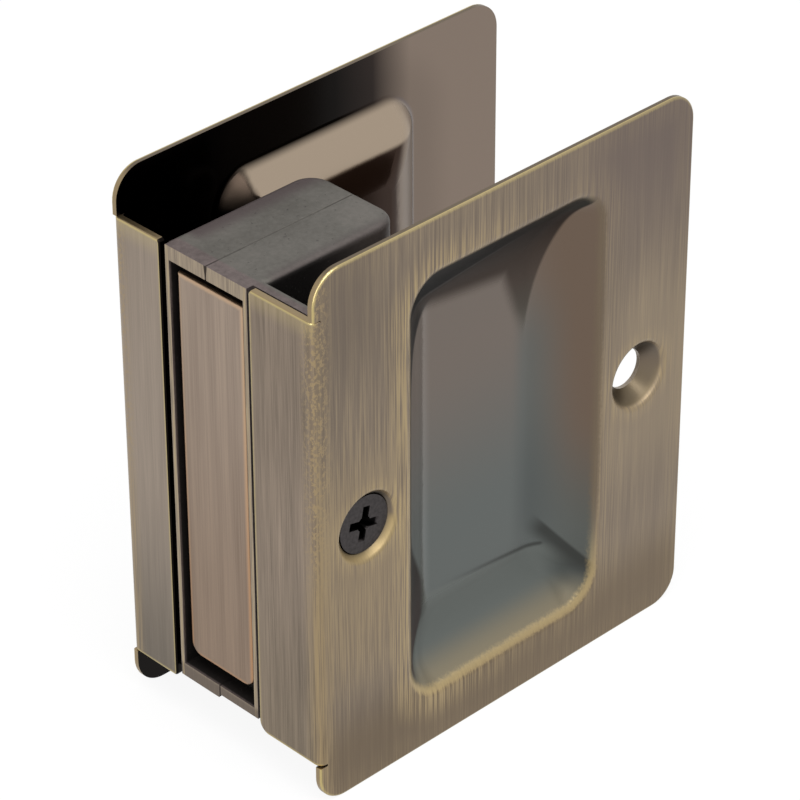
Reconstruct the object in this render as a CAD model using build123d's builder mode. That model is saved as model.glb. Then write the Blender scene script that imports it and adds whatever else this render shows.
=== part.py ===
# Passage set for a pocket door: two stamped brass halves, each a face plate with a drawn finger cup and a
# flange bent round the door's edge, and between them a two-part cast case with a swing-out edge pull.
# Millimetres. +Z is up, +X runs from the door's edge into the door, the front plate faces -Y.
# The origin lies under the middle of the set, level with the plates' lower edges.
from math import atan, cos, radians, sin, tan
import os

from build123d import *

# stamped halves
PLATE_W = 69.85
PLATE_H = 82.55
SHEET = 0.95
PLATE_CORNER_R = 4.5
EDGE_ROUND = 0.3
FLANGE_END = 2.025
FRONT_FLANGE_W = 12.0
REAR_FLANGE_W = 9.2
FLANGE_CORNER_R = 0.6
FRONT_FLANGE_LOW_R = 1.8
BEND_IN_R = 0.25
RELIEF_H = 0.15
RELIEF_PAST = 0.1

# drawn finger cup, sizes at the face; its walls curve from the rim to the floor over CUP_RUN
CUP_W = 36.0
CUP_H = 66.6
CUP_DEPTH = 5.6
CUP_RUN = 9.0
CUP_BOW = 1.8
CUP_STEPS = 5
CUP_CORNER_R = 5.5
CUP_FLOOR_CORNER_R = 1.5
CUP_RIM_R = 2.0
CUP_BACK_R = 1.0

# dimpled screw holes and the case screws
HOLE_EDGE = 9.2
HOLE_R = 3.0
DIMPLE_R = 5.3
DIMPLE_RIM_R = 0.8
DIMPLE_ANGLE = 82.0
DIMPLE_LIP = 0.6
DIMPLE_WALL = 0.95
SCREW_R = 2.4
SCREW_HEAD_R = 4.25
SCREW_LAND = 0.25
SCREW_L = 16.5
SCREW_SEAT_GAP = 0.05
SCREW_TIP = 0.8
DRIVE_W = 5.2
DRIVE_SLOT = 1.2
DRIVE_CORE_R = 1.15
DRIVE_DEPTH = 2.3
DRIVE_TURN = -12.0

# cast case, with its front strip behind the flanges and the window frame between them
FRAME_W = 15.4
CASE_H = 68.4
CASE_RAISE = 0.5
FRAME_SINK = 0.05
FRONT_SLIT = 0.25
REAR_SLIT = 1.0
REAR_SLIDE_IN = 0.9
STRIP_GAP = 0.3
STRIP_T = 1.45
STRIP_END_GAP = 0.4
STRIP_END_R = 0.65
REAR_STRIP_DROP = 3.0
CASE_LOW_STEP = 0.6
BODY_W = 16.8
BODY_DEPTH = 26.5
BODY_WALL = 1.25
BODY_END_WALL = 1.9
BODY_BACK_WALL = 1.9
BODY_CORNER_R = 3.5
BODY_EDGE_R = 1.0
WINDOW_W = 14.0
WINDOW_RAIL = 2.1
SEAM = 0.18
BOSS_R = 4.2
SCREW_HOLE_PLAY = 0.08

# rivets that hold the case halves together
RIVET_R = 1.5
RIVET_PLAY = 0.02
RIVET_HEAD_R = 2.7
RIVET_HEAD_H = 1.1
RIVET_BOSS_R = 3.0
RIVET_BACK = 5.2
RIVET_SPREAD = 54.0

# edge pull, its pin and its return spring
PULL_W = 12.4
PULL_SINK = 0.6
PULL_T = 3.0
PULL_TOP_GAP = 1.7
PULL_LOW_GAP = 2.2
PULL_CORNER_R = 2.0
PULL_EDGE_R = 0.35
LIP_REACH = 5.0
LIP_T = 2.8
LIP_INNER_R = 1.6
PIVOT_DEPTH = 5.4
PIVOT_BELOW_TOP = 11.9
HUB_R = 2.7
PIN_R = 1.2
PIN_CASE_PLAY = 0.02
PIN_HUB_PLAY = 0.06
PIN_END_SINK = 0.1
STOP_REACH = 1.9
STOP_H = 6.0
STOP_DEPTH = 2.4
STOP_BELOW = 17.0
STOP_GAP = 0.05
WIRE_R = 0.35
COIL_R = 1.8
COIL_GAP = 0.1
COIL_WINDS = 4
GROOVE_W = 5.2
GROOVE_SINK = 0.7
GROOVE_UP = 9.0
GROOVE_DOWN = 3.2
GROOVE_PAST = 0.5
LEG_UP = 8.0
LEG_BACK = 11.5
POST_R = 1.5
POST_BEHIND = 9.6
POST_PAST = 3.0

# sizes and places that follow from the ones above
FLANGE_H = PLATE_H - 2 * (PLATE_CORNER_R + FLANGE_END)
BEND_OUT_R = BEND_IN_R + SHEET
RELIEF_L = BEND_OUT_R + RELIEF_PAST
SPREAD = FRONT_FLANGE_W + FRONT_SLIT + FRAME_W + REAR_SLIT + REAR_FLANGE_W
OUT = SPREAD / 2
MID_Z = PLATE_H / 2
EDGE_X = -PLATE_W / 2
HOLE_SPACING = PLATE_W - 2 * HOLE_EDGE
CASE_Y = -OUT + FRONT_FLANGE_W + FRONT_SLIT + FRAME_W / 2
CASE_Z = MID_Z + CASE_RAISE
CASE_LOW = CASE_Z - CASE_H / 2
STRIP_X = EDGE_X + SHEET + STRIP_GAP
STRIP_BACK = STRIP_X + STRIP_T
BODY_BACK = EDGE_X + BODY_DEPTH
CAVITY_W = BODY_W - 2 * BODY_WALL
CAVITY_H = CASE_H - 2 * BODY_END_WALL
WINDOW_H = CASE_H - 2 * WINDOW_RAIL
PULL_X = EDGE_X + FRAME_SINK + PULL_SINK
PULL_TOP = CASE_Z + WINDOW_H / 2 - PULL_TOP_GAP
PULL_LOW = CASE_Z - WINDOW_H / 2 + PULL_LOW_GAP
PULL_BACK = PULL_X + PULL_T
PIVOT_X = EDGE_X + PIVOT_DEPTH
PIVOT_Z = PULL_TOP - PIVOT_BELOW_TOP
HOLE_X = EDGE_X + HOLE_EDGE
DIMPLE_SLOPE = tan(radians(DIMPLE_ANGLE / 2))
DIMPLE_DEPTH = (DIMPLE_R - HOLE_R) / DIMPLE_SLOPE

FRONT_FACE = Plane(origin=(0, -OUT, MID_Z), x_dir=(1, 0, 0), z_dir=(0, -1, 0))
REAR_FACE = Plane(origin=(0, OUT, MID_Z), x_dir=(-1, 0, 0), z_dir=(0, 1, 0))

os.makedirs("parts", exist_ok=True)


def near(value, target):
    return abs(value - target) < 1e-3


def cup_section(face, share, sheet):
    """Outline of the cup at a share of the way from its rim to its floor, one sheet further back if asked."""
    inset = CUP_RUN * share
    depth = CUP_DEPTH * (1 - (1 - share) ** CUP_BOW)
    slope = atan(CUP_DEPTH / CUP_RUN * CUP_BOW * (1 - share) ** (CUP_BOW - 1))
    inset -= sheet * sin(slope)
    depth += sheet * cos(slope)
    corner = max(CUP_CORNER_R - inset, CUP_FLOOR_CORNER_R + sheet * sin(slope))
    with BuildSketch(face.offset(-depth)) as section:
        RectangleRounded(CUP_W - 2 * inset, CUP_H - 2 * inset, corner)
    return section.sketch


def stamped_half(face, side, flange_w, low_corner_r):
    """One half from a single sheet. side is -1 for the front half and 1 for the rear one."""
    out_y = side * OUT
    in_y = side * (OUT - SHEET)
    free_y = side * (OUT - flange_w)

    # hollow of the cup, from the face down to its floor, and its back, one sheet thickness outside the hollow
    shares = [step / round(CUP_STEPS) for step in range(round(CUP_STEPS) + 1)]
    with BuildPart() as hollow:
        loft([cup_section(face, share, 0) for share in shares])
    with BuildPart() as bulge:
        loft([cup_section(face, share, SHEET) for share in shares])

    # bend and flange round the door's edge, as one section over the flange's height, its outer edges rounded
    with BuildPart() as flange:
        with BuildSketch(Plane.XY.offset(MID_Z - FLANGE_H / 2)):
            with BuildLine():
                Polyline(
                    (EDGE_X + RELIEF_L, out_y),
                    (EDGE_X, out_y),
                    (EDGE_X, free_y),
                    (EDGE_X + SHEET, free_y),
                    (EDGE_X + SHEET, in_y),
                    (EDGE_X + RELIEF_L, in_y),
                    close=True,
                )
            make_face()
            fillet(vertices().sort_by_distance((EDGE_X, out_y))[0], BEND_OUT_R)
            fillet(vertices().sort_by_distance((EDGE_X + SHEET, in_y))[0], BEND_IN_R)
        extrude(amount=FLANGE_H)

        def free_corners():
            across = flange.edges().filter_by(Axis.X)
            return across.filter_by(lambda e: near(e.center().Y, free_y)).sort_by(Axis.Z)

        fillet(free_corners()[0], low_corner_r)
        fillet(free_corners()[-1], FLANGE_CORNER_R)

        def outer_rim(edge):
            c = edge.center()
            return near(c.X, EDGE_X) and not near(c.Y, side * (OUT - BEND_OUT_R))

        fillet(flange.edges().filter_by(outer_rim), EDGE_ROUND)

    with BuildPart() as half:
        with BuildSketch(face):
            RectangleRounded(PLATE_W, PLATE_H, PLATE_CORNER_R)
            # notch for the bend, with a relief at each end that leaves the plate's corners flat
            with Locations((side * PLATE_W / 2, 0)):
                Rectangle(2 * RELIEF_L, FLANGE_H + 2 * RELIEF_H, mode=Mode.SUBTRACT)
        extrude(amount=-SHEET)

        add(flange.part)
        add(bulge.part)
        add(hollow.part, mode=Mode.SUBTRACT)

        def round_cup(edge, depth, reach):
            c = face.to_local_coords(edge.center())
            inside = abs(c.X) < CUP_W / 2 + reach and abs(c.Y) < CUP_H / 2 + reach
            return near(c.Z, -depth) and inside

        fillet(half.edges().filter_by(lambda e: round_cup(e, 0, 0.1)), CUP_RIM_R)
        fillet(half.edges().filter_by(lambda e: round_cup(e, SHEET, SHEET)), CUP_BACK_R)

        # screw holes, dimpled so that a flat head lies flush in the thin sheet
        boss_h = DIMPLE_DEPTH + DIMPLE_LIP - SHEET
        with BuildSketch(face.offset(-SHEET)):
            with GridLocations(HOLE_SPACING, 0, 2, 1):
                Circle(HOLE_R + DIMPLE_WALL + boss_h * DIMPLE_SLOPE)
        extrude(amount=-boss_h, taper=DIMPLE_ANGLE / 2)
        with Locations(face):
            with GridLocations(HOLE_SPACING, 0, 2, 1):
                CounterSinkHole(HOLE_R, DIMPLE_R, counter_sink_angle=DIMPLE_ANGLE)
        rims = half.edges().filter_by(GeomType.CIRCLE).filter_by(lambda e: near(e.radius, DIMPLE_R))
        fillet(rims, DIMPLE_RIM_R)

        def outline(edge):
            c = face.to_local_coords(edge.center())
            at_side = abs(c.X) > PLATE_W / 2 - PLATE_CORNER_R
            at_end = abs(c.Y) > PLATE_H / 2 - PLATE_CORNER_R
            return near(c.Z, 0) and (at_side or at_end)

        def off_bend(edge):
            return edge.length < FLANGE_H * 0.9 or not near(edge.center().X, EDGE_X)

        rounded = half.edges().filter_by(outline).filter_by(lambda e: e.length > 2 * RELIEF_L)
        fillet(rounded.filter_by(off_bend), EDGE_ROUND)
    return half


def case_screw(face, side):
    """Flat-head machine screw through the hole beside the door's edge, into the case."""
    top = -(DIMPLE_R - SCREW_HEAD_R) / DIMPLE_SLOPE + SCREW_LAND + SCREW_SEAT_GAP
    neck = top - SCREW_LAND - (SCREW_HEAD_R - SCREW_R) / DIMPLE_SLOPE
    centre = face.origin + face.x_dir * side * HOLE_SPACING / 2
    section = Plane(origin=centre, x_dir=face.x_dir, z_dir=-face.y_dir)
    head = Plane(origin=centre + face.z_dir * top, x_dir=face.x_dir, z_dir=face.z_dir)
    with BuildPart() as screw:
        with BuildSketch(section):
            with BuildLine():
                Polyline(
                    (0, top),
                    (SCREW_HEAD_R, top),
                    (SCREW_HEAD_R, top - SCREW_LAND),
                    (SCREW_R, neck),
                    (SCREW_R, top - SCREW_L + SCREW_TIP),
                    (SCREW_R - SCREW_TIP, top - SCREW_L),
                    (0, top - SCREW_L),
                    close=True,
                )
            make_face()
        revolve(axis=Axis(tuple(centre), tuple(face.z_dir)))
        for turn in (DRIVE_TURN, DRIVE_TURN + 90):
            with BuildSketch(head):
                Rectangle(DRIVE_W, DRIVE_SLOT, rotation=turn)
            with BuildSketch(head.offset(-DRIVE_DEPTH)):
                Rectangle(DRIVE_W * 0.4, DRIVE_SLOT * 0.75, rotation=turn)
            loft(ruled=True, mode=Mode.SUBTRACT)
        with BuildSketch(head):
            Circle(DRIVE_CORE_R)
        with BuildSketch(head.offset(-DRIVE_DEPTH)):
            Circle(DRIVE_CORE_R * 0.4)
        loft(ruled=True, mode=Mode.SUBTRACT)
    return screw


def case_half(side, strip_end):
    """One casting of the case, from its seam outwards. strip_end is the strip's reach from the seam."""
    low = CASE_LOW + (CASE_LOW_STEP if side < 0 else 0)
    top = CASE_LOW + CASE_H
    seam = Plane(origin=(0, CASE_Y, CASE_Z), x_dir=(-side, 0, 0), z_dir=(0, side, 0))

    def at(x, out):
        return (x, CASE_Y + side * out)

    def spot(x, z):
        return (-side * x, z - CASE_Z)

    with BuildPart() as half:
        with BuildSketch(Plane.XY.offset(low)):
            with BuildLine():
                Polyline(
                    at(EDGE_X + FRAME_SINK, 0),
                    at(EDGE_X + FRAME_SINK, FRAME_W / 2),
                    at(STRIP_X, FRAME_W / 2),
                    at(STRIP_X, strip_end),
                    at(STRIP_BACK, strip_end),
                    at(STRIP_BACK, BODY_W / 2),
                    at(BODY_BACK, BODY_W / 2),
                    at(BODY_BACK, 0),
                    close=True,
                )
            make_face()
        extrude(amount=top - low)

        def upright(edge, x, out):
            c = edge.center()
            return near(c.X, x) and near(c.Y, CASE_Y + side * out) and near(c.Z, (low + top) / 2)

        fillet(half.edges().filter_by(lambda e: upright(e, BODY_BACK, BODY_W / 2)), BODY_CORNER_R)
        for x in (STRIP_X, STRIP_BACK):
            fillet(half.edges().filter_by(lambda e: upright(e, x, strip_end)), STRIP_END_R)

        if side > 0:
            # the rear strip stops below the flange's upper end
            with BuildSketch(Plane.XY.offset(top - REAR_STRIP_DROP)):
                with Locations(at(STRIP_BACK, (BODY_W / 2 + strip_end) / 2 + STRIP_T / 2)):
                    Rectangle(4 * STRIP_T, strip_end - BODY_W / 2 + STRIP_T)
            extrude(amount=2 * REAR_STRIP_DROP, mode=Mode.SUBTRACT)

        def end_rim(edge):
            c = edge.center()
            level = near(c.Z, low) or near(c.Z, top)
            return level and c.X > STRIP_BACK + 0.1 and not near(c.Y, CASE_Y)

        fillet(half.edges().filter_by(end_rim), BODY_EDGE_R)

        def seam_rim(edge):
            c = edge.center()
            level = near(c.Z, low) or near(c.Z, top)
            return near(c.Y, CASE_Y) and (level or near(c.X, BODY_BACK) or near(c.X, EDGE_X + FRAME_SINK))

        chamfer(half.edges().filter_by(seam_rim), SEAM)

        # window for the pull and the hollow behind it
        with BuildSketch(Plane.XY.offset(CASE_Z - WINDOW_H / 2)):
            with Locations(((EDGE_X + STRIP_BACK) / 2, CASE_Y)):
                Rectangle(STRIP_BACK - EDGE_X, WINDOW_W)
        extrude(amount=WINDOW_H, mode=Mode.SUBTRACT)
        with BuildSketch(Plane.XY.offset(CASE_Z - CAVITY_H / 2)):
            with Locations(((STRIP_BACK + BODY_BACK - BODY_BACK_WALL) / 2, CASE_Y)):
                Rectangle(BODY_BACK - BODY_BACK_WALL - STRIP_BACK, CAVITY_W)
        extrude(amount=CAVITY_H, mode=Mode.SUBTRACT)

        # posts for the screw and the rivets, pads that the closed pull rests on
        with BuildSketch(seam):
            with Locations(spot(HOLE_X, MID_Z)):
                Circle(BOSS_R)
            for z in (CASE_Z - RIVET_SPREAD / 2, CASE_Z + RIVET_SPREAD / 2):
                with Locations(spot(BODY_BACK - RIVET_BACK, z)):
                    Circle(RIVET_BOSS_R)
        extrude(amount=CAVITY_W / 2 + BODY_WALL / 2)
        with BuildSketch(seam.offset(CAVITY_W / 2 - STOP_REACH)):
            with Locations(spot(PULL_BACK + STOP_GAP + STOP_DEPTH / 2, CASE_Z - STOP_BELOW)):
                Rectangle(STOP_DEPTH, STOP_H)
        extrude(amount=STOP_REACH + BODY_WALL / 2)
        if side < 0:
            # post under the return spring's rear leg
            with BuildSketch(seam.offset(-POST_PAST)):
                with Locations(spot(PIVOT_X + POST_BEHIND, PIVOT_Z - COIL_R - WIRE_R - STOP_GAP - POST_R)):
                    Circle(POST_R)
            extrude(amount=POST_PAST + CAVITY_W / 2 + BODY_WALL / 2)

        # holes for the screw, the rivets and the pull's pin
        with BuildSketch(seam):
            with Locations(spot(HOLE_X, MID_Z)):
                Circle(SCREW_R + SCREW_HOLE_PLAY)
            for z in (CASE_Z - RIVET_SPREAD / 2, CASE_Z + RIVET_SPREAD / 2):
                with Locations(spot(BODY_BACK - RIVET_BACK, z)):
                    Circle(RIVET_R + RIVET_PLAY)
            with Locations(spot(PIVOT_X, PIVOT_Z)):
                Circle(PIN_R + PIN_CASE_PLAY)
        extrude(amount=BODY_W, mode=Mode.SUBTRACT)
    return half


front_plate = stamped_half(FRONT_FACE, -1, FRONT_FLANGE_W, FRONT_FLANGE_LOW_R)
front_plate.part.label = "front_plate"
export_step(front_plate.part, "parts/front_plate.step")

rear_plate = stamped_half(REAR_FACE, 1, REAR_FLANGE_W, FLANGE_CORNER_R)
rear_plate.part.label = "rear_plate"
export_step(rear_plate.part, "parts/rear_plate.step")

front_case_screw = case_screw(FRONT_FACE, -1)
front_case_screw.part.label = "front_case_screw"
export_step(front_case_screw.part, "parts/front_case_screw.step")

rear_case_screw = case_screw(REAR_FACE, 1)
rear_case_screw.part.label = "rear_case_screw"
export_step(rear_case_screw.part, "parts/rear_case_screw.step")

case_front_half = case_half(-1, CASE_Y + OUT - SHEET - STRIP_END_GAP)
case_front_half.part.label = "case_front_half"
export_step(case_front_half.part, "parts/case_front_half.step")

case_rear_half = case_half(1, OUT - SHEET - REAR_SLIDE_IN - STRIP_END_GAP - CASE_Y)
case_rear_half.part.label = "case_rear_half"
export_step(case_rear_half.part, "parts/case_rear_half.step")

# headed rivets through both castings, one above and one below
with BuildPart() as case_rivets:
    for z in (CASE_Z - RIVET_SPREAD / 2, CASE_Z + RIVET_SPREAD / 2):
        shank = Plane(origin=(BODY_BACK - RIVET_BACK, CASE_Y, z), x_dir=(1, 0, 0), z_dir=(0, -1, 0))
        with BuildSketch(shank):
            Circle(RIVET_R)
        extrude(amount=BODY_W / 2, both=True)
        for turn in (1, -1):
            with BuildSketch(shank.offset(turn * BODY_W / 2)):
                Circle(RIVET_HEAD_R)
            extrude(amount=turn * RIVET_HEAD_H)
    tops = case_rivets.edges().filter_by(GeomType.CIRCLE)
    tops = tops.filter_by(lambda e: near(abs(e.center().Y - CASE_Y), BODY_W / 2 + RIVET_HEAD_H))
    fillet(tops, RIVET_HEAD_H * 0.8)
case_rivets.part.label = "case_rivets"
export_step(case_rivets.part, "parts/case_rivets.step")

# pull: a bar in the window with a finger lip behind its lower end and a hub on the pin near its top
PULL_SIDE = Plane(origin=(0, CASE_Y, 0), x_dir=(1, 0, 0), z_dir=(0, -1, 0))
with BuildPart() as edge_pull:
    with BuildSketch(PULL_SIDE):
        with BuildLine():
            Polyline(
                (PULL_X, PULL_LOW),
                (PULL_BACK + LIP_REACH, PULL_LOW),
                (PULL_BACK + LIP_REACH, PULL_LOW + LIP_T),
                (PULL_BACK, PULL_LOW + LIP_T),
                (PULL_BACK, PULL_TOP),
                (PULL_X, PULL_TOP),
                close=True,
            )
        make_face()
        root = vertices().sort_by_distance((PULL_BACK, PULL_LOW + LIP_T))[0]
        fillet(root, LIP_INNER_R)
        ends = vertices().sort_by(Axis.X)[-2:]
        fillet(ends, LIP_T * 0.45)
        with Locations((PIVOT_X, PIVOT_Z)):
            Circle(HUB_R)
        with Locations(((PULL_BACK + PIVOT_X) / 2, PIVOT_Z)):
            Rectangle(PIVOT_X - PULL_BACK, 2 * HUB_R)
    extrude(amount=PULL_W / 2, both=True)
    # the bar's lower corners are rounded as seen from the door's edge
    pull_middle = (PULL_X, CASE_Y, (PULL_LOW + PULL_TOP) / 2)
    with BuildSketch(Plane(origin=pull_middle, x_dir=(0, -1, 0), z_dir=(-1, 0, 0))):
        Rectangle(PULL_W, PULL_TOP - PULL_LOW)
        fillet(vertices().sort_by(Axis.Y)[:2], PULL_CORNER_R)
    extrude(amount=-BODY_DEPTH, mode=Mode.INTERSECT)
    with BuildSketch(PULL_SIDE):
        groove_back = PIVOT_X + HUB_R + GROOVE_PAST
        groove_mid = (PULL_BACK - GROOVE_SINK + groove_back) / 2
        with Locations((groove_mid, PIVOT_Z + (GROOVE_UP - GROOVE_DOWN) / 2)):
            Rectangle(groove_back - PULL_BACK + GROOVE_SINK, GROOVE_UP + GROOVE_DOWN)
    extrude(amount=GROOVE_W / 2, both=True, mode=Mode.SUBTRACT)
    with BuildSketch(PULL_SIDE):
        with Locations((PIVOT_X, PIVOT_Z)):
            Circle(PIN_R + PIN_HUB_PLAY)
    extrude(amount=PULL_W, both=True, mode=Mode.SUBTRACT)
    face_rim = edge_pull.edges().filter_by(lambda e: near(e.center().X, PULL_X))
    fillet(face_rim, PULL_EDGE_R)
edge_pull.part.label = "edge_pull"
export_step(edge_pull.part, "parts/edge_pull.step")

with BuildPart() as pull_pin:
    with BuildSketch(Plane(origin=(PIVOT_X, CASE_Y, PIVOT_Z), x_dir=(1, 0, 0), z_dir=(0, -1, 0))):
        Circle(PIN_R)
    extrude(amount=BODY_W / 2 - PIN_END_SINK, both=True)
pull_pin.part.label = "pull_pin"
export_step(pull_pin.part, "parts/pull_pin.step")

# return spring: wire coiled on the pin, one leg up the back of the pull and one back to the case's post.
# The last quarter turn brings the legs square to each other.
COIL_STEP = 2 * WIRE_R + COIL_GAP
COIL_L = COIL_STEP * (round(COIL_WINDS) + 0.25)
with BuildPart() as pull_spring:
    with BuildLine():
        start = (PIVOT_X, CASE_Y + COIL_L / 2, PIVOT_Z)
        coil = Helix(COIL_STEP, COIL_L, COIL_R, center=start, direction=(0, -1, 0), lefthand=True)
    with BuildSketch(Plane(origin=coil @ 0, z_dir=coil % 0)):
        Circle(WIRE_R)
    sweep(path=coil, is_frenet=True)
    with BuildSketch(Plane(origin=coil @ 0, z_dir=-(coil % 0))):
        Circle(WIRE_R)
    extrude(amount=LEG_BACK)
    with BuildSketch(Plane(origin=coil @ 1, z_dir=coil % 1)):
        Circle(WIRE_R)
    extrude(amount=LEG_UP)
pull_spring.part.label = "pull_spring"
export_step(pull_spring.part, "parts/pull_spring.step")
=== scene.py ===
import math

import bpy
from mathutils import Euler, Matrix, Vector


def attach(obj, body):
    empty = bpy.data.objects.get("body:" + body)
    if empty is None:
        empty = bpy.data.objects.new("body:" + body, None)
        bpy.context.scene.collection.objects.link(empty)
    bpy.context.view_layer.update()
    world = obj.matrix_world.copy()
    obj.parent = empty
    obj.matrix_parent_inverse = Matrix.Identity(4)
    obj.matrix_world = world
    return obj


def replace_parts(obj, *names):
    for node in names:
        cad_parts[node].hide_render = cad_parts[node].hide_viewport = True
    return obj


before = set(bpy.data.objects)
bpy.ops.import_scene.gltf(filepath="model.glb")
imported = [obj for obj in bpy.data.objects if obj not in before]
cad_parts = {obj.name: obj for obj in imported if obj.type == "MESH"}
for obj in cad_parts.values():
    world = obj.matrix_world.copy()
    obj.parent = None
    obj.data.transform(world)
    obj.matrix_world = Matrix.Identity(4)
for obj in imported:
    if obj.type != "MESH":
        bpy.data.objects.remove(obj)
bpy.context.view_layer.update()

MM = 0.001

# The case: two zinc die castings that meet at an upright seam in the middle of the door's edge.
# The frame round the window is plated brown and linished upright with the rest of the edge. The body
# behind it keeps its dull grey cast skin, with small pits; its side walls by the door's edge and the
# window's walls inside are painted black for shade.


class Field:
    """A node's output in Python expressions: each operator adds the node that works it out."""

    def __init__(self, socket):
        self.socket = socket

    def make(self, kind, settings, inputs, out=0):
        """A node of any kind in the same tree: its settings first, then each input's value or link."""
        tree = self.socket.id_data
        node = tree.nodes.new(kind)
        for name, value in settings.items():
            if name == "stops":
                elements = node.color_ramp.elements
                while len(elements) < len(value):
                    elements.new(1.0)
                for element, (position, colour) in zip(elements, value):
                    element.position = position
                    element.color = colour
            else:
                setattr(node, name, value)
        for name, value in inputs.items():
            if isinstance(value, Field):
                tree.links.new(value.socket, node.inputs[name])
            else:
                node.inputs[name].default_value = value
        return Field(node.outputs[out]) if node.outputs else None

    def work(self, operation, *terms):
        """Colours go through Mix, vectors through Vector Math and values through Math."""
        kinds = {t.socket.type for t in terms if isinstance(t, Field)}
        if "RGBA" in kinds:
            first, second = (t if isinstance(t, (Field, tuple)) else (t, t, t, 1.0) for t in terms)
            settings = {"data_type": "RGBA", "blend_type": operation}
            return self.make("ShaderNodeMix", settings, {0: 1.0, 6: first, 7: second}, 2)
        if "VECTOR" in kinds:
            terms = [t if isinstance(t, (Field, tuple)) else (t, t, t) for t in terms]
            return self.make("ShaderNodeVectorMath", {"operation": operation}, dict(enumerate(terms)))
        return self.make("ShaderNodeMath", {"operation": operation}, dict(enumerate(terms)))

    def __add__(self, other):
        return self.work("ADD", self, other)

    def __radd__(self, other):
        return self.work("ADD", other, self)

    def __sub__(self, other):
        return self.work("SUBTRACT", self, other)

    def __rsub__(self, other):
        return self.work("SUBTRACT", other, self)

    def __mul__(self, other):
        return self.work("MULTIPLY", self, other)

    def __rmul__(self, other):
        return self.work("MULTIPLY", other, self)

    def __truediv__(self, other):
        return self.work("DIVIDE", self, other)

    def __neg__(self):
        return self.work("MULTIPLY", self, -1.0)

    def __abs__(self):
        return self.work("ABSOLUTE", self)

    def __pow__(self, power):
        return self.work("POWER", self, power)

    def more(self, other):
        return self.work("MAXIMUM", self, other)

    def less(self, other):
        return self.work("MINIMUM", self, other)

    def step(self, low, high):
        """0 below low and 1 above high, smooth between; low above high turns it round."""
        if low > high:
            return 1.0 - self.step(high, low)
        ends = {"Value": self, "From Min": low, "From Max": high}
        return self.make("ShaderNodeMapRange", {"interpolation_type": "SMOOTHSTEP"}, ends)

    def between(self, first, second):
        """Self is the share of second in a mix of two colours or two values."""
        kinds = {c.socket.type for c in (first, second) if isinstance(c, Field)}
        if "RGBA" in kinds or tuple in (type(first), type(second)):
            return self.make("ShaderNodeMix", {"data_type": "RGBA"}, {0: self, 6: first, 7: second}, 2)
        return self.make("ShaderNodeMix", {}, {0: self, 2: first, 3: second})

    def shades(self, low, high, *colours):
        """Colours in even steps as self goes from low to high."""
        share = self.make("ShaderNodeMapRange", {}, {"Value": self, "From Min": low, "From Max": high})
        stops = [(i / (len(colours) - 1), c) for i, c in enumerate(colours)]
        return share.make("ShaderNodeValToRGB", {"stops": stops}, {0: share})

    def parts(self):
        split = self.make("ShaderNodeSeparateXYZ", {}, {0: self}).socket.node
        return [Field(o) for o in split.outputs]

    def noise(self, waves, detail=2.0, rough=0.5):
        """Soft noise about 0.5, with so many waves to a millimetre along each axis."""
        place = self * waves
        values = {"Vector": place, "Scale": 1.0, "Detail": detail, "Roughness": rough}
        return self.make("ShaderNodeTexNoise", {}, values)


def tint(red, green, blue):
    """A colour as seen, from 0 to 255, in the linear values that a shader takes."""
    seen = (c / 255 for c in (red, green, blue))
    return (*(c / 12.92 if c <= 0.04045 else ((c + 0.055) / 1.055) ** 2.4 for c in seen), 1.0)


def start_finish(name):
    """A new material, the place on the piece in millimetres, and the way its surface faces."""
    material = bpy.data.materials.new(name)
    material.use_nodes = True
    material.node_tree.nodes.clear()
    coordinates = material.node_tree.nodes.new("ShaderNodeTexCoord")
    place = Field(coordinates.outputs["Object"]) / MM
    return material, place, Field(coordinates.outputs["Normal"])


def end_finish(place, colour, roughness, metallic, height, depth):
    """The finish's shader; height is the surface's relief from 0 to 1, over depth in millimetres."""
    relief = {"Height": height, "Distance": depth * MM, "Strength": 1.0}
    normal = place.make("ShaderNodeBump", {}, relief)
    values = {"Base Color": colour, "Roughness": roughness, "Metallic": metallic, "Normal": normal}
    shader = place.make("ShaderNodeBsdfPrincipled", {}, values)
    place.make("ShaderNodeOutputMaterial", {}, {"Surface": shader})


def paint(node, material):
    """Gives a whole CAD node one finish."""
    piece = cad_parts[node]
    piece.data.materials.clear()
    piece.data.materials.append(material)


EDGE_X = -34.925
FRAME_FACE = -34.875
SEAM_Y = 1.025
WINDOW_HALF_W, WINDOW_LOW, WINDOW_HIGH = 7.0, 9.675, 73.875
CASE_HIGH = 75.975
BODY_HALF_W = 8.4
BACK_WALL = -9.4
NOTCH_H = 1.9

# Most values of a soft noise lie between these two.
NOISE_LOW, NOISE_HIGH = 0.35, 0.65

SKIN_DARK, SKIN, SKIN_LIGHT = tint(84, 81, 76), tint(93, 90, 85), tint(102, 98, 93)
PIT = tint(52, 49, 47)
SKIN_EDGE = tint(74, 64, 64)
SKIN_SHADED = tint(16, 14, 13)
PLATED_DARK, PLATED, PLATED_LIGHT = tint(84, 75, 73), tint(98, 88, 86), tint(108, 98, 95)
TAUPE_DARK, TAUPE, TAUPE_LIGHT = tint(119, 107, 93), tint(149, 135, 118), tint(176, 160, 133)
LOW_BAR = tint(96, 85, 76)
FRAME_BRASS = tint(178, 158, 118)
SEAM_DARK = tint(30, 26, 24)
POCKET_SHADE = tint(20, 17, 15)


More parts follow.
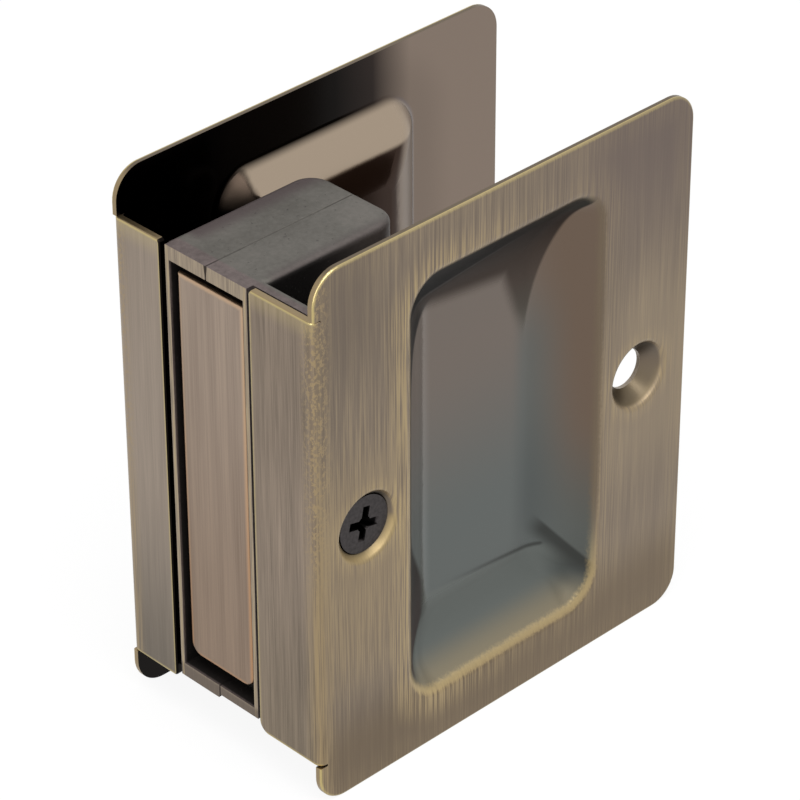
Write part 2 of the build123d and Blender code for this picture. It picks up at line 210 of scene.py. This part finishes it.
def cast_zinc():
    material, place, facing = start_finish("cast_zinc")
    x, y, z = place.parts()
    nx, _, nz = facing.parts()
    across = abs(y - SEAM_Y)

    # The body: fine cast grain and clouding, dark pits and browner rounded edges.
    grain = place.noise((1.4, 1.4, 1.4), 4, 0.6)
    cloud = place.noise((0.10, 0.10, 0.10), 2)
    pits = place.noise((1.9, 1.9, 1.9), 1).step(0.70, 0.75)
    skin = (grain * 0.45 + cloud * 0.55).shades(NOISE_LOW, NOISE_HIGH, SKIN_DARK, SKIN, SKIN_LIGHT)
    skin = (pits * 0.5).between(skin, PIT)
    rounded = (y - SEAM_Y).step(BODY_HALF_W - 4.4, BODY_HALF_W - 1.4)
    rounded = rounded.more((SEAM_Y - y).step(BODY_HALF_W - 2.4, BODY_HALF_W) * 0.7)
    rounded = rounded * x.step(EDGE_X + 3.0, EDGE_X + 5.0)
    skin = (rounded * 0.85).between(skin, SKIN_EDGE)
    # Painted shade: the body's side walls go near black towards the door's edge, in the gap behind the
    # plates.
    painted_wall_shade = abs(nz).step(0.8, 0.4) * x.step(-12.0, -26.0)
    skin = (painted_wall_shade * 0.9).between(skin, SKIN_SHADED)

    # The strip and the frame: plated, with the frame's face brushed and its lower bar left dark.
    strip = x.step(EDGE_X + 2.6, EDGE_X + 2.0)
    plated = grain * 0.5 + cloud * 0.5
    plated = plated.shades(NOISE_LOW, NOISE_HIGH, PLATED_DARK, PLATED, PLATED_LIGHT)
    colour = strip.between(skin, plated)
    streak = place.noise((4.5, 4.5, 0.10), 3, 0.65)
    face = nx.step(-0.5, -0.9) * x.step(FRAME_FACE + 0.3, FRAME_FACE + 0.1)
    taupe = streak.shades(0.3, 0.7, TAUPE_DARK, TAUPE, TAUPE_LIGHT)
    low_bar = z.step(WINDOW_LOW + 0.5, WINDOW_LOW - 0.5)
    taupe = (low_bar * 0.85).between(taupe, LOW_BAR)
    colour = face.between(colour, taupe)
    rim = across.step(WINDOW_HALF_W + 0.05, WINDOW_HALF_W + 0.3)
    rim = rim * across.step(WINDOW_HALF_W + 0.6, WINDOW_HALF_W + 0.35)
    colour = (face * rim * streak.step(0.4, 0.6) * 0.6).between(colour, FRAME_BRASS)

    # The seam: a dark line that opens into a small notch at the frame's upper edge.
    notch = (z - CASE_HIGH + NOTCH_H).more(0.0) * face * 0.12
    seam = (across - notch).step(0.16, 0.08) * strip.between(cloud.step(0.35, 0.6) * 0.4 + 0.25, 0.85)
    colour = seam.between(colour, SEAM_DARK)

    # The window: painted black inside for shade.
    mouth = (z - WINDOW_LOW).less(WINDOW_HIGH - z).less(WINDOW_HALF_W - across)
    pocket = mouth.step(-0.25, 0.05) * x.step(FRAME_FACE + 0.15, FRAME_FACE + 0.5)
    pocket = pocket * x.step(BACK_WALL, BACK_WALL - 0.4)
    colour = pocket.between(colour, POCKET_SHADE)

    height = face.between(grain * 0.6 - pits * 0.7, streak * 0.2)
    rough = face.between(0.58, 0.36)
    end_finish(place, colour, rough, face.between(0.75, 1.0), height, 0.05)
    return material


zinc = cast_zinc()
for half in ("case_front_half", "case_rear_half"):
    paint(half, zinc)


# The pull's pivot pin and torsion spring, and the two rivets that close the case.
# All are drawn steel: the pin and the spring are bright, the rivets' heads dull from the press. The
# spring is made in two pieces, because its upper leg lies on the pull's back and swings with it.
PIVOT_X, PIVOT_Z = -29.525, 60.275
WIRE_R, COIL_R, COIL_PITCH, COIL_TURNS = 0.35, 1.8, 0.8, 4.25
LEG_UP, LEG_BACK = 8.0, 11.5
TURN_STEPS = 32
LEG_THINNER = 0.01


def drawn_steel(name, dark, light, roughness):
    material, place, _ = start_finish(name)
    grain = place.noise((1.5, 1.5, 1.5), 3)
    scuff = place.noise((0.5, 3.0, 0.5), 3, 0.6)
    colour = (grain * 0.5 + scuff * 0.5).shades(NOISE_LOW, NOISE_HIGH, dark, light)
    end_finish(place, colour, scuff.between(roughness, roughness + 0.2), 1.0, grain, 0.02)
    return material


paint("pull_pin", drawn_steel("pin_steel", tint(130, 130, 130), tint(178, 178, 178), 0.2))
paint("case_rivets", drawn_steel("rivet_steel", tint(98, 94, 90), tint(136, 131, 125), 0.35))
spring_steel = drawn_steel("spring_steel", tint(120, 119, 116), tint(168, 167, 164), 0.25)


def on_coil(step):
    """A place on the coil, so many steps along from its lowest point, where the rear leg begins."""
    turn = step / TURN_STEPS
    angle = turn * math.tau
    y = SEAM_Y + COIL_PITCH * (COIL_TURNS / 2 - turn)
    return Vector((PIVOT_X - COIL_R * math.sin(angle), y, PIVOT_Z - COIL_R * math.cos(angle)))


def spring_wire(name, body, route, radius):
    """A length of round wire along a route in millimetres, cut off square at both ends."""
    curve = bpy.data.curves.new(name, "CURVE")
    curve.dimensions = "3D"
    curve.bevel_depth = radius * MM
    curve.use_fill_caps = True
    spline = curve.splines.new("POLY")
    spline.points.add(len(route) - 1)
    for point, place in zip(spline.points, route):
        point.co = (*(place * MM), 1.0)
    curve.materials.append(spring_steel)
    piece = bpy.data.objects.new(name, curve)
    bpy.context.scene.collection.objects.link(piece)
    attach(piece, body)
    return piece


slope = COIL_PITCH / (math.tau * COIL_R)
last_step = round(COIL_TURNS * TURN_STEPS)
rear_end = on_coil(0) + Vector((1, slope, 0)).normalized() * LEG_BACK
upper_end = on_coil(last_step) + Vector((0, -slope, 1)).normalized() * LEG_UP
coil_route = [rear_end] + [on_coil(s) for s in range(last_step + 1)]
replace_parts(spring_wire("spring_coil", "case", coil_route, WIRE_R), "pull_spring")
# The leg starts a quarter turn back, inside the coil's wire, so that no wire is missing when it swings.
leg_route = [on_coil(s) for s in range(last_step - TURN_STEPS // 4, last_step + 1)] + [upper_end]
spring_wire("spring_leg", "pull", leg_route, WIRE_R - LEG_THINNER)


# The edge pull: a die-cast bar plated in a coppery brown and linished upright on its face.
# The linishing breaks through to bright copper along the face's edges.
PULL_LOW, PULL_HIGH = 11.875, 72.175
PULL_NEAR, PULL_FAR = -5.175, 7.225
PULL_FACE = -34.275
PULL_DARK, PULL_BROWN, PULL_LIGHT = tint(130, 114, 101), tint(149, 133, 119), tint(166, 148, 131)
PULL_LOW_SHADE = (0.83, 0.77, 0.71, 1.0)
PLAIN_DARK, PLAIN_LIGHT = tint(58, 48, 42), tint(82, 69, 60)
COPPER_LOW, COPPER_HIGH = tint(178, 136, 100), tint(190, 160, 130)


def pull_copper():
    material, place, facing = start_finish("pull_copper")
    x, y, z = place.parts()
    nx = facing.parts()[0]
    streak = place.noise((3.4, 3.4, 0.05), 3, 0.6)
    band = place.noise((0.5, 0.5, 0.02), 2)
    tone = streak * 0.55 + band * 0.45
    brushed = tone.shades(0.25, 0.75, PULL_DARK, PULL_BROWN, PULL_LIGHT)
    fade = z.step(PULL_LOW, PULL_HIGH)
    brushed = fade.between(brushed * PULL_LOW_SHADE, brushed)
    front = nx.step(-0.5, -0.9) * x.step(PULL_FACE + 0.4, PULL_FACE + 0.1)
    plain = place.noise((0.8, 0.8, 0.8), 3).shades(NOISE_LOW, NOISE_HIGH, PLAIN_DARK, PLAIN_LIGHT)
    colour = front.between(plain, brushed)
    edge = (y - PULL_NEAR).less(PULL_FAR - y).less(z - PULL_LOW).less(PULL_HIGH - z)
    ragged = edge + (streak - 0.5) * 0.5
    worn = ragged.step(0.75, 0.2) * x.step(PULL_FACE + 0.8, PULL_FACE + 0.3)
    copper = fade.between(COPPER_LOW, COPPER_HIGH)
    colour = (worn * 0.8).between(colour, copper)
    end_finish(place, colour, front.between(0.45, 0.32), 1.0, streak, 0.01)
    return material


paint("edge_pull", pull_copper())


# The two halves: each one stamping of brass sheet with a drawn finger cup, dimpled screw holes and
# a flange bent round the door's edge. The finish is antiqued: blackened all over, then brushed
# upright on the outside, which bares bright brass along the edges, the fold and the cup's rim.
# Light and shade are also painted into the cup and its rim, the dimples, the cut edges and the inside.
OUT = 18.925
MID_Z = 41.275
PLATE_HALF_W, PLATE_HALF_H, PLATE_CORNER_R = 34.925, 41.275, 4.5
FLANGE_LOW, FLANGE_HIGH = 6.525, 76.025
CUP_HALF_W, CUP_HALF_H, CUP_CORNER_R = 18.0, 33.3, 5.5
HOLE_X, DIMPLE_R = 25.725, 5.3
FRONT_FREE_EDGE, REAR_FREE_EDGE = 6.925, 9.725
FLOOR_SIDE, DUSK_FOOT = 8.4, 11.0
CREASE_SLOPE, CREASE_DROP = -0.096, 22.4
HALVES_APART = 40.0

AGED_DARK = tint(106, 95, 85)
AGED = tint(127, 114, 100)
AGED_LIGHT = tint(156, 140, 116)
AGED_WARM = tint(152, 133, 103)
AGED_LOW = tint(110, 95, 76)
AGED_COOL = tint(107, 95, 90)
STREAK_BRASS = tint(172, 152, 115)
WORN_BRASS = tint(156, 137, 106)
RIM_BRASS = tint(188, 166, 120)
BARE_BRASS = tint(196, 178, 122)
CUT_EDGE = tint(74, 63, 49)
TOP_EDGE_LIT = tint(106, 94, 78)
FOLD_END_LIT = tint(146, 128, 98)
INNER_TAUPE = tint(128, 114, 103)
INNER_BROWN = tint(46, 39, 36)
INNER_BLACK = tint(20, 17, 15)
CUP_BACK_BEIGE = tint(163, 147, 129)
CUP_BACK_SHADE = tint(58, 49, 42)
CUP_BACK_FLAT = tint(56, 44, 38)
CUP_BACK_SIDE = tint(124, 111, 99)
CUP_BACK_RIM = tint(104, 98, 101)
CUP_SLATE = tint(95, 99, 97)
CUP_GREY = tint(112, 103, 96)
CUP_FAR_LOW = tint(86, 88, 84)
CUP_UMBER = tint(106, 91, 79)
TEAL_LOW, TEAL_HIGH = tint(80, 84, 83), tint(91, 96, 94)
CUP_LOW_LIP, CUP_LOW = tint(125, 117, 99), tint(99, 103, 100)
CREASE_SHADE = tint(56, 57, 55)
NEAR_BROWN, NEAR_DARK, NEAR_BLACK = tint(84, 73, 71), tint(54, 50, 47), tint(34, 32, 30)
DUSK_GREY, DUSK_BROWN, DUSK_DARK = tint(88, 84, 77), tint(76, 67, 61), tint(50, 43, 39)
CUP_BLACK, CUP_SHADE_MID, CUP_SHADE_PALE = tint(10, 9, 8), tint(18, 17, 16), tint(46, 45, 40)
SHEEN = tint(84, 80, 78)
LIP_SHADE = tint(100, 88, 76)
CONE_HIGH, CONE, CONE_LOW = tint(106, 99, 91), tint(114, 102, 88), tint(104, 93, 76)
BORE_WALL = tint(150, 138, 122)
CRESCENT = tint(160, 141, 102)
FRONT_FLANGE = tint(124, 111, 95), tint(133, 119, 105)
REAR_FLANGE = tint(114, 105, 94), tint(145, 132, 119)


def rounded_box(across, up, half_w, half_h, corner_r):
    """The distance out from a rounded rectangle, below zero inside it."""
    a = abs(across) - (half_w - corner_r)
    b = abs(up) - (half_h - corner_r)
    return (a.more(0.0) ** 2.0 + b.more(0.0) ** 2.0) ** 0.5 + a.more(b).less(0.0) - corner_r


def antique_brass(name, side, free_edge, brush, flange_low, flange_high):
    """Side is the way the plate faces along Y, free_edge how far out the flange's free edge lies, and
    brush how strongly its flange is brushed."""
    material, place, facing = start_finish(name)
    x, y, z = place.parts()
    nx, ny, nz = facing.parts()
    up = z - MID_Z
    outward = ny * side
    out = y * side
    depth = OUT - out
    from_fold = x - EDGE_X
    face = outward.step(0.3, 0.7) * depth.step(0.7, 0.45)
    flange = nx.step(-0.5, -0.8) * from_fold.step(0.6, 0.3)
    outline = rounded_box(x, up, PLATE_HALF_W, PLATE_HALF_H, PLATE_CORNER_R)
    rim = rounded_box(x, up, CUP_HALF_W, CUP_HALF_H, CUP_CORNER_R)
    dimple = ((abs(x) - HOLE_X) ** 2.0 + up ** 2.0) ** 0.5 - DIMPLE_R

    # Brushing: fine hair lines over broader bands and patches, all drawn out upright.
    sheet = from_fold - depth * from_fold.step(3.0, 1.2)
    sheet = place.make("ShaderNodeCombineXYZ", {}, {0: sheet, 1: HALVES_APART * side, 2: z})
    hair = sheet.noise((3.8, 1.0, 0.06), 3, 0.7)
    band = sheet.noise((0.9, 1.0, 0.035), 2)
    patch = place.noise((0.07, 0.07, 0.03), 1)
    speck = place.noise((2.4, 2.4, 1.6), 3, 0.7)
    ragged = (hair - 0.5) * 0.6 + (speck - 0.5) * 0.4
    keen = x.step(30.0, -12.0).between(0.55, 1.05)
    tone = ((hair - 0.5) * 1.1 + (band - 0.5) * 0.6) * keen + (patch - 0.5) * 0.5 + 0.5
    brushed = tone.shades(0.15, 0.85, AGED_DARK, AGED, AGED_LIGHT)
    brushed = (up.step(-24.0, -35.0) * 0.75).between(brushed, AGED_LOW)
    brushed = (up.step(10.0, 36.0) * x.step(0.0, 24.0) * 0.7).between(brushed, AGED_COOL)
    brushed = (up.step(16.0, 32.0) * x.step(-16.0, -28.0) * 0.6).between(brushed, AGED_DARK)
    warm = up.step(-30.0, -14.0) * up.step(16.0, 2.0) * x.step(-16.0, -24.0)
    brushed = (warm * 0.3).between(brushed, AGED_WARM)
    pale = up.step(-24.0, -8.0) * up.step(24.0, 2.0) * x.step(16.0, 28.0)
    brushed = (pale * 0.45).between(brushed, AGED_LIGHT)
    bent = z.step(FLANGE_LOW, FLANGE_LOW + 34.0).between(flange_low, flange_high)
    bent = ((tone - 0.5) * brush + 1.0) * bent
    colour = flange.between(brushed, bent)

    # Wear on the brushed side: bright hair lines about the cup's rim and the dimples, a gritty band
    # along the fold, and bare brass along the plate's outline and the flange's ends and free edge.
    about = rim.step(6.0, 0.3) * x.step(8.0, -18.0).between(0.25, 1.05)
    about = about.more(x.step(-15.0, -21.0) * up.step(-30.0, -20.0) * up.step(26.0, 8.0) * 0.3)
    about = about + outline.step(-5.0, -0.6) * 0.15 + dimple.step(2.6, 0.0) * 0.45
    streaks = about * hair.step(0.40, 0.60) * face
    colour = (streaks * 0.85).between(colour, STREAK_BRASS)

    bend = from_fold.step(3.4, 1.0) * depth.step(3.2, 0.8)
    bend = bend * (face + flange).more(from_fold.step(1.2, 0.9))
    grit = up.step(6.0, -12.0).between(speck.step(0.47, 0.60), hair.step(0.36, 0.62))
    colour = (bend * (grit * 0.75 + 0.12)).between(colour, WORN_BRASS)

    ends = (z - FLANGE_LOW).less(FLANGE_HIGH - z).less(out - free_edge)
    ends_worn = (ends + ragged * 0.4).step(0.62, 0.12) * nx.step(-0.15, -0.45)
    ends_worn = ends_worn * from_fold.step(0.7, 0.4)
    glow = (FLANGE_HIGH - z).step(3.5, 0.3) * flange * 0.3
    along_bend = from_fold.step(1.8, 1.0) * (z - FLANGE_LOW).less(FLANGE_HIGH - z).step(-0.3, 0.3)
    line = (outline + ragged * 0.5).step(-0.45, -0.08) * outward.step(0.12, 0.4) * (1.0 - along_bend)
    share = up.step(30.0, 39.0) * 0.4 + up.step(-30.0, -39.0) * 0.25 + x.step(-28.0, -33.0) * 0.3 + 0.1
    bare = ends_worn.more(line * share.less(0.85)).more(glow)
    colour = (bare * 0.8).between(colour, BARE_BRASS)
    on_flange = flange * (z - FLANGE_LOW).less(FLANGE_HIGH - z).step(-0.3, 0.0)
    cut = outline.step(-0.25, -0.08) * abs(outward).step(0.35, 0.1) * (1.0 - on_flange)
    cut = cut.more(abs(nz).step(0.5, 0.8) * from_fold.step(1.1, 0.9) * depth.step(0.5, 1.0))
    # Painted light: cut edges that face up are painted lighter than the rest, and the faces at the
    # fold's end and by the relief notch are painted light brass against their shade.
    upturned = nz.step(0.3, 0.7)
    edge = depth.step(0.30, 0.42).between(BARE_BRASS, upturned.between(CUT_EDGE, TOP_EDGE_LIT))
    bend_end = upturned * from_fold.step(1.3, 1.1)
    edge = nx.step(-0.3, -0.8).more(bend_end).between(edge, FOLD_END_LIT)
    colour = cut.between(colour, edge)

    # The cup: smooth and dark, with painted reflections over it. Its floor turns greyer downwards and
    # its far wall browner upwards, with a cool strip of painted sheen where they meet. Its lower wall
    # brightens to the worn rim in a painted reflection, below a painted shade line at the crease.
    cup = rim.step(0.3, -0.7) * outward.step(-0.05, 0.05)
    floor = up.step(-14.0, 16.0).between(CUP_SLATE, CUP_GREY)
    far = up.step(-24.0, -2.0).between(CUP_FAR_LOW, CUP_UMBER)
    cup_colour = (x + up * 0.12).step(7.5, 17.5).between(floor, far)

    teal_sheen = x.step(6.0, 9.0) * x.step(16.0, 9.5) * up.step(-26.0, -18.0) * up.step(22.0, 8.0)
    teal_colour = up.step(-16.0, 6.0).between(TEAL_LOW, TEAL_HIGH)
    cup_colour = (teal_sheen * 0.65).between(cup_colour, teal_colour)

    crease_up = x * CREASE_SLOPE - CREASE_DROP
    low = (up + CUP_HALF_H).step(0.8, 5.0).between(CUP_LOW_LIP, CUP_LOW)
    wedge_off = x * 0.8 + up * 0.6
    below = (crease_up - up).step(-0.2, 0.6) * wedge_off.step(-3.0, -4.2)
    # Painted shade: the lower wall is darker at its lower right corner, to damp the lamp's glint there.
    low = (x.step(11.0, 15.0) * up.step(-24.0, -29.0)).between(low, low * 0.6)
    cup_colour = below.between(cup_colour, low)
    # Painted shade: a dark line along the floor's lower crease and a dark diagonal band in the lower
    # right corner.
    crease_shade = abs(up - crease_up).step(0.6, 0.0) * x.step(-9.0, 9.0) * x.step(12.6, 11.8)
    wedge_shade = wedge_off.step(-5.4, -3.0) * wedge_off.step(-2.1, -2.6)
    wedge_shade = wedge_shade * (x * 0.6 - up * 0.8).step(20.5, 24.5)
    cup_colour = (crease_shade * 0.8).more(wedge_shade * 0.85).between(cup_colour, CREASE_SHADE)

    # The cup's near wall faces away from the light and is painted lighter to make up for it, and a
    # painted black band of shade fills its upper end and corners.
    lee_lightened = nx.step(0.21, 0.47)
    cup_colour = lee_lightened.between(cup_colour, cup_colour * 1.35)
    near_w = ((up - 5.0).more(0.0) / 20.0) ** 4.0 * 7.0
    near_w = near_w + up.step(-6.0, -20.0) * up.step(-31.0, -23.0) * 5.4 + 1.6
    near_wall = (x + CUP_HALF_W - near_w).step(0.7, -0.5)
    near_wall = near_wall * (-rim).step(0.4, 1.6).more(up.step(-28.0, -22.0))
    near_colour = up.shades(-30.0, 0.0, NEAR_BROWN, NEAR_DARK, NEAR_BLACK)
    cup_colour = near_wall.between(cup_colour, near_colour)

    # Painted shade: a band across the cup's upper end, black at the top and brown below, with a painted
    # sheen line between them and a tail down by the far wall.
    rise = (up - DUSK_FOOT).more(0.0)
    past = rise * 0.13 + (rise / 20.8) ** 2.2 * 5.5 + FLOOR_SIDE - x
    tail = (x - 8.6 + (up - DUSK_FOOT) * 0.36).step(-1.4, 1.4) * up.step(9.5, 17.0)
    dusk = (up + x * 0.13 - 23.2).step(-1.5, 1.2).more(tail) * past.step(-0.25, 0.35)
    sheen_up = up - x * 0.155 - 27.7
    brown = up.shades(14.0, 28.0, DUSK_GREY, DUSK_BROWN, DUSK_DARK)
    black = x.shades(-8.0, 14.0, CUP_BLACK, CUP_SHADE_MID, CUP_SHADE_PALE)
    dusk_colour = sheen_up.step(-0.7, 0.6).between(brown, black)
    sheen = abs(sheen_up).step(0.35, 0.05) * x.step(9.0, 3.0)
    dusk_colour = (sheen * 0.4).between(dusk_colour, SHEEN)
    cup_colour = dusk.between(cup_colour, dusk_colour)
    colour = cup.between(colour, cup_colour)

    # The rim: worn bare brass with a painted highlight, strongest along its lower side, and painted
    # shade on its right side to damp the glint there.
    lip_at = rim + (speck - 0.5) * 0.9
    lip = lip_at.step(0.6, -0.1) * lip_at.step(-1.1, -0.3) * outward.step(0.2, 0.5)
    lip_share = up.step(-20.0, -31.0) * 0.55 + 0.05
    colour = (lip * x.step(14.0, 17.0) * up.step(-26.0, -14.0) * 0.7).between(colour, LIP_SHADE)
    colour = (lip * lip_share).between(colour, RIM_BRASS)

    # The dimples: the cone painted greyer on its upper side and browner on its lower as light falls on
    # them, with the bore painted pale against its shade, and a worn crescent at the lower edge that also
    # carries a painted highlight.
    cone = dimple.step(-0.3, -0.7) * depth.step(0.25, 0.45) * outward.step(0.02, 0.2)
    cone_colour = nz.shades(-0.6, 0.6, CONE_HIGH, CONE, CONE_LOW)
    colour = cone.between(colour, cone_colour)
    bore = dimple.step(2.0 - DIMPLE_R, 1.8 - DIMPLE_R).more(dimple.step(-2.1, -2.25))
    bore = bore * abs(outward).step(0.3, 0.1)
    colour = bore.between(colour, BORE_WALL)
    crescent = abs(dimple + 0.35).step(0.8, 0.1) * nz.step(0.0, 0.2) * outward.step(0.1, 0.4)
    colour = (crescent * x.step(10.0, -10.0).between(0.1, 0.75)).between(colour, CRESCENT)

    # The inside: never brushed, so it stays smooth and dark, with a painted reflection that turns near
    # black towards the fold. The cup's back is painted dark on its flat, paler on its near side and
    # palest along its lit top, with painted shade on the plate about it.
    inside = outward.step(-0.1, -0.3).more(nx.step(0.2, 0.5) * from_fold.step(1.5, 1.2))
    inner = x.shades(4.0, 18.0, INNER_BLACK, INNER_BROWN, INNER_TAUPE)
    bulge = rim.step(0.6, -0.6)
    beige = nz.step(0.10, 0.28) * bulge
    inner = (rim.step(9.0, 2.0) * 0.9).between(inner, inner * 0.84)
    inner = (bulge * rim.step(-1.0, -2.0)).between(inner, CUP_BACK_FLAT)
    inner = (bulge * nx.step(0.12, 0.35)).between(inner, CUP_BACK_SIDE)
    inner = (abs(rim).step(0.9, 0.2) * x.step(14.0, 17.0) * 0.6).between(inner, CUP_BACK_RIM)
    lit = beige * up.step(28.3, 29.0)
    inner = lit.between(inner, nx.step(-0.03, -0.22).between(CUP_BACK_BEIGE, CUP_BACK_SHADE))
    colour = inside.between(colour, inner)

    smooth = inside.more(cup)
    dull = cup * dusk.more(lee_lightened).more(up.step(-20.0, -27.0))
    dull = dull.more(inside * bulge * abs(nx).step(0.12, 0.35) * 0.6).more(crescent)
    rough = dull.between(smooth.between(0.36 - streaks * 0.08, 0.15), 0.5)
    height = (1.0 - smooth) * (hair * 0.6 + speck * bend * 0.7)
    end_finish(place, colour, rough, 1.0 - bore * 0.9, height, 0.012)
    return material


paint("front_plate", antique_brass("front_brass", -1, FRONT_FREE_EDGE, 1.1, *FRONT_FLANGE))
paint("rear_plate", antique_brass("rear_brass", 1, REAR_FREE_EDGE, 0.5, *REAR_FLANGE))


# The case screws: flat-head machine screws with a cross recess, through the hole beside the fold.
# They are blackened steel, with a faint lathe mark on the head and painted shade in the cross recess.
HEAD_DEPTH, RECESS_DEPTH = 1.02, 1.3
LATHE_WAVES = 9.0
BLACKED_DARK, BLACKED_LIGHT = tint(52, 49, 49), tint(71, 67, 67)
RECESS_SHADE = tint(14, 13, 13)


def black_steel():
    material, place, _ = start_finish("black_steel")
    x, y, z = place.parts()
    grain = place.noise((2.0, 2.0, 2.0), 3)
    radius = ((x + HOLE_X) ** 2.0 + (z - MID_Z) ** 2.0) ** 0.5
    turned = radius.work("SINE", radius * LATHE_WAVES)
    colour = grain.shades(0.3, 0.7, BLACKED_DARK, BLACKED_LIGHT)
    # Painted shade: the cross recess goes near black.
    shaded_recess = abs(y).step(OUT - HEAD_DEPTH, OUT - RECESS_DEPTH)
    colour = shaded_recess.between(colour, RECESS_SHADE)
    end_finish(place, colour, grain.between(0.3, 0.42), 1.0, grain * 0.6 + turned * 0.1, 0.012)
    return material


black = black_steel()
for screw in ("front_case_screw", "rear_case_screw"):
    paint(screw, black)


# The studio: a white floor that runs out of sight, an even white surround and two soft boxes.
# The floor and the surround are white to the eye and in reflections, and the floor keeps a faint shadow.
FLOOR_REACH = 3
WHITE, CARD = (1, 1, 1, 1), (0.85, 0.85, 0.85, 1)
FLOOR_WHITE_SHARE, SURROUND_DIM = 0.9, 0.6
MIDDLE = (0, 0, 0.04)

corners = [(x * FLOOR_REACH, y * FLOOR_REACH, 0) for x, y in ((-1, -1), (1, -1), (1, 1), (-1, 1))]
floor_mesh = bpy.data.meshes.new("floor")
floor_mesh.from_pydata(corners, [], [(0, 1, 2, 3)])
floor = bpy.data.objects.new("floor", floor_mesh)
bpy.context.scene.collection.objects.link(floor)
floor_paint = bpy.data.materials.new("floor")
floor_paint.use_nodes = True
floor_paint.node_tree.nodes.clear()
floor.data.materials.append(floor_paint)


def seen_rays(tree):
    """1 for rays from the eye, from a reflection or through glass, else 0."""
    rays = tree.nodes.new("ShaderNodeLightPath").outputs
    kinds = ("Is Camera Ray", "Is Glossy Ray", "Is Transmission Ray")
    eye, glossy, through = (Field(rays[kind]) for kind in kinds)
    return eye.more(glossy).more(through)


seen = seen_rays(floor_paint.node_tree)
card = seen.make("ShaderNodeBsdfDiffuse", {}, {"Color": CARD})
white = seen.make("ShaderNodeEmission", {}, {"Color": WHITE, "Strength": 1.0})
shade = seen.make("ShaderNodeMixShader", {}, {0: seen * FLOOR_WHITE_SHARE, 1: card, 2: white})
seen.make("ShaderNodeOutputMaterial", {}, {"Surface": shade})

world = bpy.data.worlds.new("studio")
bpy.context.scene.world = world
world.use_nodes = True
world.node_tree.nodes.clear()
seen = seen_rays(world.node_tree)
dim = seen.make("ShaderNodeBackground", {}, {"Color": WHITE, "Strength": SURROUND_DIM})
bright = seen.make("ShaderNodeBackground", {}, {"Color": WHITE, "Strength": 1.0})
surround = seen.make("ShaderNodeMixShader", {}, {0: seen, 1: dim, 2: bright})
seen.make("ShaderNodeOutputWorld", {}, {"Surface": surround})


def softbox(name, where, size, power):
    """A rectangular lamp that faces the set's middle."""
    light = bpy.data.lights.new(name, "AREA")
    light.shape = "RECTANGLE"
    light.size, light.size_y = size
    light.energy = power
    lamp = bpy.data.objects.new(name, light)
    lamp.location = where
    lamp.rotation_euler = (Vector(MIDDLE) - Vector(where)).to_track_quat("-Z", "Y").to_euler()
    bpy.context.scene.collection.objects.link(lamp)


softbox("overhead", (-0.1, -0.25, 0.75), (0.6, 0.6), 6)
softbox("left", (-0.7, -0.2, 0.35), (0.4, 0.7), 3)

# The camera: a long lens that looks down on the set's front corner, for the photograph's view.
# The display transform leaves colours as they are.
camera = bpy.data.cameras.new("camera")
camera.lens = 176.84
camera.sensor_width = 36.0
camera.clip_start, camera.clip_end = 0.01, 10
eye = bpy.data.objects.new("camera", camera)
eye.location = (-0.313758, -0.320614, 0.332564)
eye.rotation_euler = Euler(tuple(math.radians(a) for a in (56.918, 0.162, -44.342)), "XYZ")
bpy.context.scene.collection.objects.link(eye)
bpy.context.scene.camera = eye
bpy.context.scene.view_settings.view_transform = "Standard"
